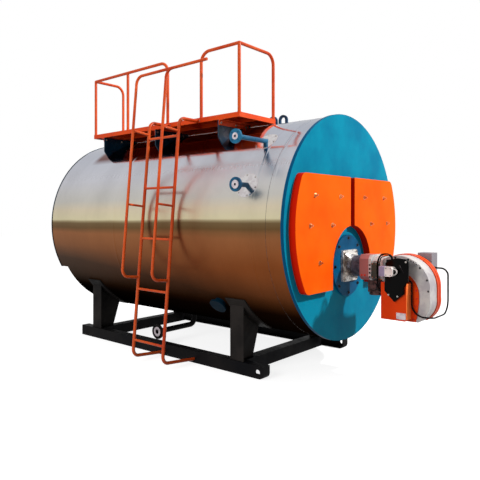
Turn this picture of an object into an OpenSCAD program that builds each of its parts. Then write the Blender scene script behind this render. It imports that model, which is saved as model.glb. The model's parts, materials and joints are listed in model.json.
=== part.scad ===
// Horizontal fire-tube steam boiler on a skid, with a walkway, a side ladder and a gas burner.
// X runs along the barrel towards the burner, -Y is the ladder side and Z is up.
// The origin is on the floor, midway under the front cross beam.

/* [Barrel] */
// Radius of the stainless cladding
barrel_r = 1035; // [950:5:1060]
// Thickness of the insulated wall, from cladding to inner shell
wall = 110; // [80:5:150]
// Length of the cladding, from front plate to rear rim
barrel_l = 3210; // [3150:10:3500]
// Height of the barrel's axis above the floor
axis_z = 1340; // [1300:5:1400]
// Distance from the front cross beam to the front plate's outer face
front_x = 705; // [650:5:800]
// Length of the rear smoke box
smoke_l = 120; // [100:5:250]
// Height of the smoke box's flat bottom above the floor
smoke_z = 822; // [700:5:900]
// Amount by which end plates stand proud of the cladding
rim = 15; // [8:1:30]
// Thickness of the front plate
plate_t = 30; // [20:1:50]

/* [Doors] */
// Radius of the doors' outer edge
door_r = 974; // [900:2:1000]
// Thickness of the doors
door_t = 65; // [40:1:100]
// Height of the doors' top edge above the barrel's axis
door_up = 463; // [400:5:520]
// Depth of the doors' bottom edge below the barrel's axis
door_down = 545; // [480:5:600]
// Gap between the two doors
door_gap = 80; // [40:2:120]
// Radius of the arched opening round the burner
arch_r = 372; // [330:2:400]
// Radius of the doors' outer corners
door_bend = 70; // [30:5:120]

/* [Burner] */
// Depth of the burner's axis below the barrel's axis
burner_down = 355; // [320:5:380]
// Radius of the round mounting plate
mount_r = 285; // [250:5:310]
// Thickness of the mounting plate and of the cast flange
mount_t = 20; // [12:1:30]
// Width of the square cast flange
flange_w = 290; // [250:5:330]
// Radius of the neck tube
neck_r = 96; // [80:1:110]
// Length from mounting plate to head
neck_l = 165; // [120:5:200]
// Length of the head
head_l = 85; // [60:5:120]
// Width of the head
head_w = 220; // [200:5:240]
// Height of the head
head_h = 226; // [200:2:250]
// Length of the cast block between head and fan
block_l = 135; // [110:5:180]
// Radius of the fan housing
fan_r = 265; // [245:1:275]
// Depth of the fan's axis below the burner's axis
fan_down = 145; // [130:5:160]
// Width of the fan housing
fan_w = 150; // [130:5:200]
// Width of the band behind the fan housing
band_w = 86; // [60:2:100]
// Width of the air intake box
intake_w = 220; // [200:5:230]
// Depth of the air intake box
intake_d = 98; // [80:2:120]
// Radius of the fan motor
motor_r = 140; // [120:5:160]
// Length of the fan motor
motor_l = 230; // [180:5:300]

/* [Skid] */
// Height of every skid beam
beam_h = 115; // [100:1:140]
// Width of the long beams
beam_w = 100; // [80:1:120]
// Distance between the long beams' middles
beam_gap = 1466; // [1400:2:1540]
// Overhang of the long beams in front of the front cross beam
beam_front = 315; // [200:5:400]
// Overhang of the long beams behind the rear cross beam
beam_rear = 270; // [200:5:350]
// Distance between the two cross beams
leg_span = 2125; // [2000:5:2250]
// Width of the cross beams
cross_w = 110; // [90:1:150]
// Thickness of beam and leg plates
plate = 12; // [8:1:16]
// Width of the legs' outer plates
leg_w = 155; // [130:5:180]
// Depth of the legs' webs at the foot
leg_foot = 240; // [200:5:260]
// Depth of the legs' webs at the barrel
leg_head = 345; // [300:5:380]
// Width of the saddle pads
pad_w = 230; // [200:5:300]

/* [Walkway] */
// Height of the walkway's top above the barrel's top
walk_up = 40; // [30:1:60]
// Length of the walkway
walk_l = 2240; // [2200:10:2300]
// Width of the walkway
walk_w = 580; // [520:5:600]
// Distance of the walkway's near edge from the centre plane
walk_y = 722; // [690:2:740]
// Distance of the walkway's front end behind the front plate's face
walk_front = 704; // [680:2:750]
// Height of the walkway's edge frame
walk_t = 47; // [40:1:50]
// Height of the railings above the walkway
rail_h = 645; // [600:5:900]
// Radius of all railing and ladder tubes
tube_r = 16; // [14:0.5:18]
// Bend radius of the railings' open corners
rail_bend = 105; // [80:5:140]
// Length of the rear railing along the walkway
rail_rear_l = 1250; // [1200:5:1300]
// Length of the front railing along the walkway
rail_front_l = 480; // [450:5:500]
// Distance between the posts across the walkway's rear end
rail_rear_w = 420; // [380:5:460]

/* [Ladder] */
// Width of the ladder between its stiles' middles
ladder_w = 420; // [400:5:450]
// Distance of the ladder's rear stile behind the front plate's face
ladder_x = 1650; // [1640:5:1690]
// Distance of the ladder's foot from the barrel's side
ladder_out = 170; // [155:5:220]
// Distance between the ladder's foot and its top, seen from above
ladder_lean = 223; // [180:5:240]
// Height of the lowest rung
rung_z = 232; // [200:2:260]
// Distance between the rungs
rung_step = 495; // [470:5:510]
// Number of rungs
rung_n = 5;
// Distance of the handrails from the stiles
hand_off = 210; // [150:5:260]

/* [Hidden] */
$fn = 48;
drum_fn = 240;

orange = "orangered";
steel = "silver";
black = "#202024";
teal = "#1489ad";
navy = "#123a5c";

top_z = axis_z + barrel_r;
walk_z = top_z + walk_up;
beam_y = beam_gap / 2;
outer_y = beam_y + beam_w / 2;
burner_z = axis_z - burner_down;
weld = 0.6;
bead_l = 8;
smoke_wall = 60;
cover_rim = 4;
collar_t = 3;
lug_back = 705;
lug_gap = 125;
lug_t = 22;
blow_back = 2000;
blow_z = 155;
blow_y = -560;
blow_in = 40;
blow_r = 30;
blow_flange_r = 82;
blow_t = 18;
blow_pcd = 125;
hand_hole_back = 905;
cladding_x = front_x - plate_t;
rear_x = cladding_x - barrel_l;
walk_x1 = front_x - walk_front;
walk_x0 = walk_x1 - walk_l;
blow_x = front_x - blow_back;

function unit(v) = v / norm(v);

// A round bar from point a to point b
module rod(a, b, r) {
  v = b - a;
  translate(a)
    rotate([0, acos(v[2] / norm(v)), atan2(v[1], v[0])])
      cylinder(r = r, h = norm(v));
}

// A bend at point p, from direction u to direction v
module elbow(p, u, v, r, bend) {
  turn = acos(u * v);
  start = p - u * bend * tan(turn / 2);
  centre = p + unit(v - u) * bend / cos(turn / 2);
  ax = unit(start - centre);
  az = cross(ax, u);
  multmatrix([
      [ax[0], u[0], az[0], centre[0]],
      [ax[1], u[1], az[1], centre[1]],
      [ax[2], u[2], az[2], centre[2]],
      [0, 0, 0, 1]])
    rotate_extrude(angle = turn)
      translate([bend, 0])
        circle(r = r);
}

// A round tube along straight runs, bent at the points between its ends.
// bend is the radius of every bend, or a list with one for each point.
// A bead is the height of the weld ring round the tube at both ends of each bend.
module bent_tube(pts, r, bend, bead = 0) {
  last = len(pts) - 1;
  dirs = [for (i = [0:last - 1]) unit(pts[i + 1] - pts[i])];
  bends = [for (i = [0:last]) is_list(bend) ? bend[i] : bend];
  cuts = [for (i = [0:last])
    i == 0 || i == last ? 0 : bends[i] * tan(acos(dirs[i - 1] * dirs[i]) / 2)];
  for (i = [0:last - 1])
    rod(pts[i] + dirs[i] * cuts[i], pts[i + 1] - dirs[i] * cuts[i + 1], r);
  for (i = [1:last - 1]) {
    elbow(pts[i], dirs[i - 1], dirs[i], r, bends[i]);
    if (bead > 0)
      for (end = [[pts[i] - dirs[i - 1] * cuts[i], dirs[i - 1]],
          [pts[i] + dirs[i] * cuts[i], dirs[i]]])
        rod(end[0] - end[1] * bead_l / 2, end[0] + end[1] * bead_l / 2, r + bead);
  }
}

// What a round corner of radius f takes off the corner at p of a flat shape that lies
// towards -X and -Y from it, or mirrored where sx or sy is -1
module corner_waste(p, f, sx = 1, sy = 1) {
  translate(p)
    mirror([sx < 0 ? 1 : 0, 0])
      mirror([0, sy < 0 ? 1 : 0])
        translate([-f, -f])
          difference() {
            square(f + 1);
            circle(r = f - weld / 4);
          }
}

module from_front() {
  translate([front_x, 0, 0]) children();
}

// A ring round the barrel's axis, from x0 to x1
module drum(x0, x1, r1, r0) {
  translate([x0, 0, axis_z])
    rotate([0, 90, 0])
      difference() {
        cylinder(r = r1, h = x1 - x0, $fn = drum_fn);
        if (r0 > 0)
          translate([0, 0, -1])
            cylinder(r = r0, h = x1 - x0 + 2, $fn = drum_fn);
      }
}

module cladding(a, b) {
  color(steel)
    drum(rear_x + barrel_l * a, rear_x + barrel_l * b, barrel_r, barrel_r - wall);
}
module cladding_rear() { cladding(0, 0.33); }
module cladding_middle() { cladding(0.33, 0.957); }
module cladding_front() { cladding(0.957, 1); }

// The tube plate, let into the rear end of the wall
module rear_plate() {
  color(black)
    drum(rear_x, rear_x + plate, barrel_r - wall, 0);
}

// The part of the rear end above the flat bottom of the smoke box
module above_smoke_floor(x0, x1, up) {
  translate([x0 - 1, -2 * barrel_r, smoke_z + up])
    cube([x1 - x0 + 2, 4 * barrel_r, 4 * barrel_r]);
}

module smoke_box() {
  x0 = rear_x - smoke_l;
  color(steel)
    difference() {
      intersection() {
        drum(x0, rear_x, barrel_r, 0);
        above_smoke_floor(x0, rear_x, 0);
      }
      intersection() {
        drum(x0 - 1, rear_x + 1, barrel_r - smoke_wall, 0);
        above_smoke_floor(x0, rear_x, smoke_wall);
      }
    }
}

module smoke_box_cover() {
  x1 = rear_x - smoke_l;
  color(navy)
    intersection() {
      drum(x1 - plate, x1, barrel_r + cover_rim, 0);
      above_smoke_floor(x1 - plate, x1, -cover_rim);
    }
}

module front_plate() {
  color(teal)
    drum(front_x - plate_t, front_x, barrel_r + rim, 0);
}

// What a round corner takes off the doors' outer edge where it meets a level edge,
// at height h above the axis, or below it where side is -1
module door_corner(h, side) {
  c = [-sqrt(pow(door_r - door_bend, 2) - pow(h - door_bend, 2)), h - door_bend];
  reach = door_bend + 20;
  mirror([0, side < 0 ? 1 : 0])
    difference() {
      polygon([c, c + [0, reach], c + [-2 * door_bend, reach], c + unit(c) * reach]);
      translate(c)
        circle(r = door_bend - weld / 2);
    }
}

// The outline of the door on the ladder side, seen from the front
module door_outline() {
  difference() {
    intersection() {
      circle(r = door_r);
      translate([-2 * door_r, -door_down])
        square([2 * door_r - door_gap / 2, door_down + door_up]);
    }
    translate([0, -burner_down])
      circle(r = arch_r);
    translate([-arch_r, -2 * door_r])
      square([arch_r * 2, 2 * door_r - burner_down]);
    door_corner(door_up, 1);
    door_corner(door_down, -1);
  }
}

module door(side) {
  color(orange)
    from_front()
      translate([0, 0, axis_z])
        rotate([90, 0, 90])
          mirror([side > 0 ? 1 : 0, 0, 0])
            linear_extrude(height = door_t)
              door_outline();
}
module door_left() { door(-1); }
module door_right() { door(1); }

// Places its children on the burner's axis, x measured from the front plate
module on_burner(x) {
  translate([front_x + x, 0, burner_z]) children();
}

head_x = mount_t + neck_l;
block_x = head_x + head_l;
flat_x = block_x + block_l;
fan_x = flat_x + 130;
fan_z = -fan_down;
face_y = -90;
rim_t = 8;
rim_w = 28;
fan_floor = 286;
band_y = face_y + fan_w;
motor_y = band_y + band_w;
collar_r = neck_r + 14;
box_x = 66;
terminal = [120, 200, 140];
rib_t = 14;
rib_h = 75;

module burner_mount_plate() {
  color(teal)
    on_burner(0)
      rotate([0, 90, 0])
        cylinder(r = mount_r, h = mount_t);
}

// A cast square plate with a round collar for the neck and a rib to each corner
module burner_flange() {
  half = flange_w / 2;
  diagonal = half * sqrt(2) - 24;
  color("lightgray")
    on_burner(mount_t)
      difference() {
        union() {
          rotate([90, 0, 90])
            linear_extrude(height = mount_t)
              difference() {
                square(flange_w, center = true);
                for (sx = [-1, 1])
                  for (sy = [-1, 1])
                    corner_waste([sx * half, sy * half], 28, sx, sy);
              }
          rotate([0, 90, 0])
            cylinder(r = collar_r, h = neck_l * 0.42);
          for (turn = [45:90:315])
            rotate([turn, 0, 0])
              translate([0, rib_t / 2, 0])
                rotate([90, 0, 0])
                  linear_extrude(height = rib_t)
                    polygon([[mount_t - 1, 0], [mount_t + rib_h * 0.6, 0],
                      [mount_t + rib_h * 0.6, collar_r], [mount_t - 1, diagonal]]);
        }
        translate([-1, 0, 0])
          rotate([0, 90, 0])
            cylinder(r = neck_r, h = neck_l);
      }
}

module burner_neck() {
  color("dimgray")
    on_burner(mount_t)
      rotate([0, 90, 0])
        cylinder(r = neck_r, h = neck_l);
}

// The head's outline in the Y-Z plane, with sloped upper and lower corners
module head_outline(grow) {
  w = head_w / 2 + grow;
  h = head_h / 2 + grow;
  c = 34;
  polygon([[-w, -h + c], [-w + c, -h], [w - c, -h], [w, -h + c],
    [w, h - c], [w - c, h], [-w + c, h], [-w, h - c]]);
}

module burner_head() {
  color("rosybrown")
    on_burner(head_x)
      rotate([90, 0, 90])
        linear_extrude(height = head_l)
          head_outline(0);
}

// The cast block between head and fan: a flange at each end, with round pockets in its side
module burner_adapter() {
  lip = 24;
  pocket_r = 34;
  color("gainsboro")
    on_burner(block_x)
      difference() {
        union() {
          rotate([90, 0, 90])
            linear_extrude(height = lip)
              head_outline(0);
          translate([lip - 1, 0, 0])
            rotate([90, 0, 90])
              linear_extrude(height = block_l - 2 * lip + 2)
                head_outline(-15);
          translate([block_l - lip, 0, 0])
            rotate([90, 0, 90])
              linear_extrude(height = lip)
                head_outline(-4);
        }
        for (z = [-60, 30])
          translate([block_l / 2, -head_w / 2 + 27, z])
            rotate([90, 0, 0])
              cylinder(r = pocket_r, h = head_w);
      }
}

// The gas butterfly valve under the head, with its round cover and lower flange
module gas_valve() {
  top = head_h / 2;
  body = 110;
  width = 84;
  color(black)
    on_burner(block_x)
      union() {
        translate([-body / 3, -width / 2, -top - body])
          cube([body, width, body]);
        translate([body / 6, -width / 2 + 1, -top - body / 2])
          rotate([90, 0, 0])
            cylinder(r = 34, h = 22);
        translate([body / 6, 0, -top - body - 24])
          cylinder(r = 56, h = 25);
      }
}

// The fan housing's outline in the X-Z plane: round above, fuller below,
// flat towards the head and at the bottom
module fan_outline(grow) {
  shift = 60;
  drop = 110;
  r = fan_r - 58;
  intersection() {
    union() {
      circle(r = fan_r + grow);
      translate([shift, -drop])
        circle(r = r + grow);
      translate([0, -drop])
        square([fan_r + grow + 0.5, drop]);
    }
    translate([flat_x - fan_x, -fan_floor])
      square([3 * fan_r, 4 * fan_r]);
  }
}

// Stands its flat children up in the X-Z plane of the fan, from y to y + depth
module on_fan(y, depth) {
  on_burner(fan_x)
    translate([0, y + depth, fan_z])
      rotate([90, 0, 0])
        linear_extrude(height = depth)
          children();
}

// A casting with a raised rim round a sunk face
module fan_housing() {
  color("lightgray")
    difference() {
      on_fan(face_y - rim_t, fan_w + rim_t)
        fan_outline(0);
      on_fan(face_y - rim_t - 1, rim_t + 1)
        fan_outline(-rim_w);
    }
}

// Two rings with a groove between them
module fan_band() {
  groove = 10;
  ring = (band_w - groove) / 2;
  color(orange)
    union() {
      on_fan(band_y, ring)
        fan_outline(8);
      on_fan(band_y + ring - 1, groove + 2)
        fan_outline(0);
      on_fan(band_y + ring + groove, ring)
        fan_outline(8);
    }
}

// A finned motor with its terminal box
module fan_motor() {
  fin_t = 6;
  fin_h = 14;
  fins = 28;
  color("slategray")
    union() {
      on_fan(motor_y, motor_l)
        circle(r = motor_r - fin_h);
      on_fan(motor_y, 22)
        circle(r = motor_r + 18);
      on_fan(motor_y + 40, motor_l - 80)
        for (i = [0:fins - 1])
          rotate(i * 360 / fins)
            translate([0, -fin_t / 2])
              square([motor_r, fin_t]);
      on_fan(motor_y + motor_l - 40, 40)
        circle(r = motor_r);
      on_fan(motor_y + 22, terminal[2])
        translate([box_x, motor_r - 60])
          square([terminal[0], terminal[1]]);
    }
}

// The intake's outline against the housing: an arch with a straight foot
module intake_arch() {
  r = 200;
  left = -intake_w / 2;
  intersection() {
    union() {
      translate([-25, -61])
        circle(r = r);
      polygon([[left, -61], [r - 25.5, -61], [r - 25.5, -120], [151, -fan_floor], [left, -fan_floor]]);
    }
    translate([left, -fan_floor])
      square([3 * r, 3 * r]);
  }
}

module air_intake_box() {
  color(orange)
    union() {
      on_fan(face_y - flange_t, flange_t)
        intake_arch();
      on_fan(cover_y, intake_d + 1)
        difference() {
          translate([-intake_w / 2, -fan_floor + 14])
            square([intake_w, fan_floor + 26]);
          corner_waste([intake_w / 2, -fan_floor + 14], 16, 1, -1);
        }
    }
}

flange_t = 12;
cover_y = face_y - flange_t - intake_d;
cover_t = 20;
body_x = -62;
body_z = 40.3;
body_w = 146;
body_h = 195;

// The control cover: a sheet hood that comes to a point over the intake box
module control_cover() {
  color(black)
    union() {
      on_fan(cover_y - cover_t, cover_t)
        polygon([[-70, -29], [14, -115], [97, -41], [97, 16], [130, 66], [133, 226],
          [116, 249], [39, 254], [-10, 242], [-62, 210], [-70, 25]]);
      on_fan(cover_y - 1, intake_d + 1)
        translate([body_x, body_z])
          square([body_w, body_h]);
    }
}

module damper_servo() {
  right = 30;
  low = 102;
  high = 182;
  color("white")
    union() {
      on_fan(cover_y - cover_t - 78, 78)
        difference() {
          translate([right - 115, low])
            square([115, high - low]);
          corner_waste([right, high], 20, 1, 1);
          corner_waste([right, low], 20, 1, -1);
        }
      on_fan(cover_y - cover_t - 50, 22)
        translate([right + 3, (low + high) / 2])
          circle(r = 24);
    }
}

// A lead through points measured from the fan's centre, with a gland at both ends
module lead(pts, r, bend) {
  last = len(pts) - 1;
  gland = 10;
  on_burner(fan_x)
    translate([0, 0, fan_z])
      union() {
        bent_tube(pts, r, bend);
        rod(pts[0], pts[0] + unit(pts[1] - pts[0]) * gland, r + 4);
        rod(pts[last], pts[last] + unit(pts[last - 1] - pts[last]) * gland, r + 4);
      }
}

// Two leads that loop past the damper servo, each from the top of the cover to the intake box
module damper_leads() {
  top = body_z + body_h;
  color(black)
    for (i = [0, 1])
      translate([-26 * i, 26 * i, 0])
        lead([[-25, -178, top], [-25, -178, top + 42], [-154, -178, top + 42],
          [-154, -178, -36 - 26 * i], [26 * i - intake_w / 2, -178, -36 - 26 * i]], 7, 30);
}

// The motor's lead, from the cover round the fan housing to the terminal box
module motor_lead() {
  out = fan_r + 35;
  box_y = motor_y + 22 + terminal[2] / 2;
  color(black)
    lead([[body_x + body_w, -125, 62], [126, -125, 62], [126, -125, -232], [out, -125, -232],
      [out, box_y, -232], [out, box_y, 150], [box_x + terminal[0], box_y, 150]],
      7, [0, 28, 100, 60, 120, 60, 0]);
}

gauge_back = 428;
gauge_up = 775;
gauge_step = 403;
bore_l = 200;
gauge_x = front_x - gauge_back;
gauge_y = -barrel_r - 95;
gauge_r = 21;
gauge_wall = 5;
gauge_flange_r = 62;
gauge_flange_t = 18;
gauge_pcd = 90;
collar_plate_r = 112;
upper_z = axis_z + gauge_up;
lower_z = upper_z - gauge_step;

// The four bolt holes of a flange of thickness t that faces -Y at point p
module flange_holes(p, pitch_r, hole_r, t) {
  for (turn = [45:90:315])
    rod(p + [pitch_r * cos(turn), t + 1, pitch_r * sin(turn)],
      p + [pitch_r * cos(turn), -1, pitch_r * sin(turn)], hole_r);
}

// The depth of the barrel's surface at height z, measured from the centre plane
function skin_y(z) = sqrt(pow(barrel_r, 2) - pow(z - axis_z, 2));

// A flanged pipe that leaves the cladding along -Y at height z
module gauge_nozzle(z) {
  foot = skin_y(z + gauge_r) - 60;
  difference() {
    union() {
      color(teal)
        rod([gauge_x, -foot, z], [gauge_x, gauge_y, z], gauge_r);
      color(navy)
        rod([gauge_x, gauge_y + gauge_flange_t, z], [gauge_x, gauge_y, z], gauge_flange_r);
    }
    rod([gauge_x, gauge_y + bore_l, z], [gauge_x, gauge_y - 1, z], gauge_r - gauge_wall);
    flange_holes([gauge_x, gauge_y, z], gauge_pcd / 2, 7, gauge_flange_t);
    drum(gauge_x - collar_plate_r, gauge_x + collar_plate_r, barrel_r + 0.3, 0);
  }
}
module gauge_nozzle_upper() { gauge_nozzle(upper_z); }
module gauge_nozzle_lower() { gauge_nozzle(lower_z); }

// The curved plates that close the cladding round the gauge nozzles
module gauge_collars() {
  color(steel)
    for (z = [upper_z, lower_z])
      difference() {
        intersection() {
          drum(gauge_x - collar_plate_r - 1, gauge_x + collar_plate_r + 1, barrel_r + collar_t, barrel_r);
          translate([gauge_x, 0, axis_z])
            rotate([collar_turn(z), 0, 0])
              cylinder(r = collar_plate_r, h = 2 * barrel_r);
        }
        rod([gauge_x, 0, z], [gauge_x, -2 * barrel_r, z], gauge_r + 0.2);
      }
}

// The slant of the barrel's surface at height z, from the top towards -Y
function collar_turn(z) = acos((z - axis_z) / barrel_r);

// An inverted U of plate that stands on the barrel
module lug() {
  r = 52;
  strap = 24;
  rise = 52;
  rotate([90, 0, 0])
    translate([0, 0, -lug_t / 2])
      linear_extrude(height = lug_t)
        difference() {
          union() {
            translate([0, rise])
              circle(r = r);
            translate([-r, -15])
              square([2 * r, rise + 15]);
          }
          translate([0, rise])
            circle(r = r - strap);
          translate([strap - r, 14])
            square([2 * (r - strap), rise - 14]);
        }
}

module lifting_lugs() {
  color(navy)
    difference() {
      for (x = [lug_back, lug_back + lug_gap])
        translate([front_x - x, 0, top_z])
          lug();
      drum(front_x - lug_back - 2 * lug_gap, front_x - lug_back + lug_gap, barrel_r, 0);
    }
}

// A flanged drain pipe that comes down from the barrel's bottom and turns to -Y
module blowdown_nozzle() {
  color(black)
    difference() {
      union() {
        bent_tube([[blow_x, blow_in, axis_z - barrel_r + 40], [blow_x, blow_in, blow_z],
          [blow_x, blow_y, blow_z]], blow_r, 2.4 * blow_r);
        rod([blow_x, blow_y + blow_t, blow_z], [blow_x, blow_y, blow_z], blow_flange_r);
      }
      rod([blow_x, blow_y + 150, blow_z], [blow_x, blow_y - 1, blow_z], blow_r - 5);
      flange_holes([blow_x, blow_y, blow_z], blow_pcd / 2, 9, blow_t);
      drum(blow_x - blow_flange_r, blow_x + blow_flange_r, barrel_r, 0);
    }
}

// A flanged hand hole low on the ladder side
module side_nozzle() {
  flange_r = 84;
  flange_t = 18;
  neck = 55;
  color(navy)
    difference() {
      translate([front_x - hand_hole_back, 0, axis_z])
        rotate([133, 0, 0])
          union() {
            cylinder(r = neck, h = barrel_r + 50);
            translate([0, 0, barrel_r + 42])
              cylinder(r = flange_r, h = flange_t);
          }
      drum(front_x - hand_hole_back - 2 * flange_r, front_x - hand_hole_back + 2 * flange_r,
        barrel_r, 0);
    }
}

// A long beam seen from the side, with its lower front corner rounded
module beam_side(inset) {
  len = leg_span + beam_rear + beam_front;
  h = beam_h - inset;
  f = nose_r - inset;
  translate([0, inset])
    difference() {
      square([len - inset, h - inset]);
      corner_waste([len - inset, 0], f, 1, -1);
    }
}

// A channel beam along X: its web outside, its open side towards the other beam,
// closed in front, and with a towing hole through the web
module long_beam(side) {
  len = leg_span + beam_rear + beam_front;
  color(black)
    mirror([0, side > 0 ? 1 : 0, 0])
      translate([-leg_span - beam_rear, -outer_y, 0])
        difference() {
          translate([0, beam_w, 0])
            rotate([90, 0, 0])
              linear_extrude(height = beam_w)
                beam_side(0);
          translate([-1, beam_w + 1, 0])
            rotate([90, 0, 0])
              linear_extrude(height = beam_w - plate + 1)
                beam_side(plate);
          translate([len - 62, -1, beam_h / 2])
            rotate([-90, 0, 0])
              cylinder(r = tow_r, h = plate + 2);
        }
}
module skid_beam_near() { long_beam(-1); }
module skid_beam_far() { long_beam(1); }

nose_r = 48;
tow_r = 25;

module cross_beam(x) {
  span = beam_gap - beam_w;
  color(black)
    translate([x - cross_w / 2, -span / 2, 0])
      difference() {
        cube([cross_w, span, beam_h]);
        translate([-1, -1, plate])
          cube([cross_w - plate + 1, span + 2, beam_h - 2 * plate]);
      }
}
module skid_cross_front() { cross_beam(0); }
module skid_cross_rear() { cross_beam(-leg_span); }

module leg(x, side) {
  y0 = outer_y - 20;
  pad_t = 14;
  pad_top = 650;
  pad_in = 400;
  pad_shift = 20;
  color(black)
    mirror([0, side > 0 ? 1 : 0, 0])
      translate([x, 0, 0])
        union() {
          difference() {
            union() {
              translate([-leg_w / 2, -y0, beam_h])
                cube([leg_w, plate, axis_z]);
              translate([-plate / 2, 0, 0])
                rotate([90, 0, 90])
                  linear_extrude(height = plate)
                    polygon([[-y0, beam_h], [-y0 + leg_foot, beam_h],
                      [-y0 + leg_head, 420], [-y0 + leg_head + 60, axis_z], [-y0, axis_z]]);
            }
            drum(-leg_w, leg_w, barrel_r + pad_t / 2, 0);
          }
          difference() {
            drum(pad_shift - pad_w / 2, pad_shift + pad_w / 2, barrel_r + pad_t, barrel_r);
            translate([-pad_w, -3 * barrel_r, axis_z - pad_top])
              cube([2 * pad_w, 6 * barrel_r, 6 * barrel_r]);
            translate([-pad_w, -pad_in, -barrel_r])
              cube([2 * pad_w, 6 * barrel_r, 3 * barrel_r]);
          }
        }
}
module leg_front_near() { leg(0, -1); }
module leg_front_far() { leg(0, 1); }
module leg_rear_near() { leg(-leg_span, -1); }
module leg_rear_far() { leg(-leg_span, 1); }

under_z = walk_z - walk_t;
cleat = 50;
cleat_t = 6;
support_ends = 462;
support_back = walk_front + 268;
support_step = (walk_l - support_ends) / 2;

// The place of each walkway support along X
support_xs = [for (i = [0:2]) front_x - support_back - support_step * i];

// A tray turned over: a deck with an edge frame and cross bars below it,
// and an angle cleat below it at each support, behind the two rear ones
module walkway() {
  frame_t = 8;
  deck_t = 6;
  bays = 6;
  bay = (walk_l - frame_t) / bays;
  half = (walk_w - frame_t) / 2;
  color(orange)
    union() {
      translate([walk_x0, -walk_y, under_z])
        difference() {
          cube([walk_l, walk_w, walk_t]);
          for (i = [0:bays - 1])
            for (j = [0, 1])
              translate([frame_t + bay * i, frame_t + half * j, -1])
                cube([bay - frame_t, half - frame_t, walk_t - deck_t + 1]);
        }
      for (i = [0:2])
        translate([support_xs[i] + (i == 0 ? plate : 0), -walk_y + 2, under_z - cleat])
          mirror([i == 0 ? 0 : 1, 0, 0])
            difference() {
              cube([cleat, cleat_run, cleat + 2]);
              translate([cleat_t, -1, -cleat_t])
                cube([cleat, walk_w, cleat]);
            }
    }
}

cleat_run = 460;

// A cross plate under the walkway, cut to the barrel, its near edge sloped below
module walkway_support(i) {
  edge_h = 165;
  slope = [120, 150];
  run = cleat_run + 45;
  color(navy)
    difference() {
      translate([support_xs[i], -walk_y + 2, under_z])
        rotate([90, 0, 90])
          linear_extrude(height = plate)
            polygon([[0, 0], [0, -edge_h], [slope[0], -edge_h - slope[1]],
              [run, -edge_h - slope[1]], [run, 0]]);
      drum(support_xs[i] - plate, support_xs[i] + 2 * plate, barrel_r, 0);
    }
}
module walkway_support_front() { walkway_support(0); }
module walkway_support_middle() { walkway_support(1); }
module walkway_support_rear() { walkway_support(2); }

rail_y0 = -walk_y + tube_r;
rail_y1 = walk_w - walk_y - tube_r;
rail_rear_y1 = rail_y0 + rail_rear_w;
rail_z = walk_z + rail_h;

module railing_rear() {
  x0 = walk_x0 + tube_r;
  x1 = x0 + rail_rear_l;
  xm = x0 + rail_rear_l * 0.48;
  color(orange)
    union() {
      bent_tube([[x0, rail_y0, rail_z], [x1, rail_y0, rail_z], [x1, rail_y0, walk_z]],
        tube_r, rail_bend);
      bent_tube([[x0, rail_y0, rail_z], [x0, rail_rear_y1, rail_z], [x0, rail_rear_y1, walk_z]],
        tube_r, rail_bend);
      rod([x0, rail_y0, walk_z], [x0, rail_y0, rail_z], tube_r);
      rod([xm, rail_y0, walk_z], [xm, rail_y0, rail_z], tube_r);
      translate([x0, rail_y0, rail_z])
        sphere(r = tube_r);
    }
}

module railing_front() {
  x1 = walk_x1 - tube_r;
  x0 = x1 - rail_front_l;
  color(orange)
    union() {
      bent_tube([[x0, rail_y0, walk_z], [x0, rail_y0, rail_z], [x1, rail_y0, rail_z]],
        tube_r, rail_bend);
      bent_tube([[x1, rail_y0, rail_z], [x1, rail_y1, rail_z], [x1, rail_y1, walk_z]],
        tube_r, rail_bend);
      rod([x1, rail_y0, walk_z], [x1, rail_y0, rail_z], tube_r);
      translate([x1, rail_y0, rail_z])
        sphere(r = tube_r);
    }
}

stile_foot = [front_x - ladder_x, -barrel_r - ladder_out, 75];
stile_top = [stile_foot[0], stile_foot[1] + ladder_lean, under_z + tube_r];
stile_dir = unit(stile_foot - stile_top);
out_dir = unit([0, stile_dir[2], -stile_dir[1]]);

stile_bend = 70;

// The point of the rear stile's middle line at height z
function on_stile(z) = stile_top + stile_dir * (z - stile_top[2]) / stile_dir[2];

module ladder_stile(dx) {
  color(orange)
    translate([dx, 0, 0])
      bent_tube([[stile_top[0], -walk_y - 0.3, stile_top[2]], stile_top, stile_foot,
        [stile_foot[0], -outer_y - 0.3, 38]], tube_r, stile_bend, weld);
}
module ladder_stile_rear() { ladder_stile(0); }
module ladder_stile_front() { ladder_stile(ladder_w); }

module ladder_rungs() {
  color(orange)
    for (i = [0:rung_n - 1])
      translate(on_stile(rung_z + i * rung_step))
        rod([tube_r - 1, 0, 0], [ladder_w - tube_r + 1, 0, 0], tube_r - 4);
}

hand_r = tube_r - 2;
hand_low = 840;
hand_high = walk_z + 377;
hand_bend = 75;
bar_l = 925;
stay_zs = [1538, 2258];

// The top corner of the rear handrail, and of the front one below its bar
hand_top = on_stile(hand_high) + out_dir * hand_off;

// A handrail's tube from its foot on the stile, round its top corner and along run
module handrail_tube(dx, run, grow) {
  low = on_stile(hand_low) + out_dir * hand_off;
  translate([dx, 0, 0])
    bent_tube([on_stile(hand_low) + out_dir * tube_r, low, hand_top, hand_top + [run, 0, 0]],
      hand_r + grow, hand_bend, weld);
}

module handrail_stays(dx) {
  for (z = stay_zs)
    translate([dx, 0, 0])
      rod(on_stile(z) + out_dir * tube_r, on_stile(z) + out_dir * hand_off, hand_r - 3);
}

// The rear handrail ends where it meets the front one's bend
module ladder_handrail_rear() {
  color(orange)
    union() {
      difference() {
        handrail_tube(0, ladder_w + hand_bend - bead_l, 0);
        handrail_tube(ladder_w, bar_l - ladder_w, 0.2);
      }
      handrail_stays(0);
    }
}

module ladder_handrail_front() {
  color(orange)
    union() {
      handrail_tube(ladder_w, bar_l - ladder_w, 0);
      handrail_stays(ladder_w);
    }
}

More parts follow.
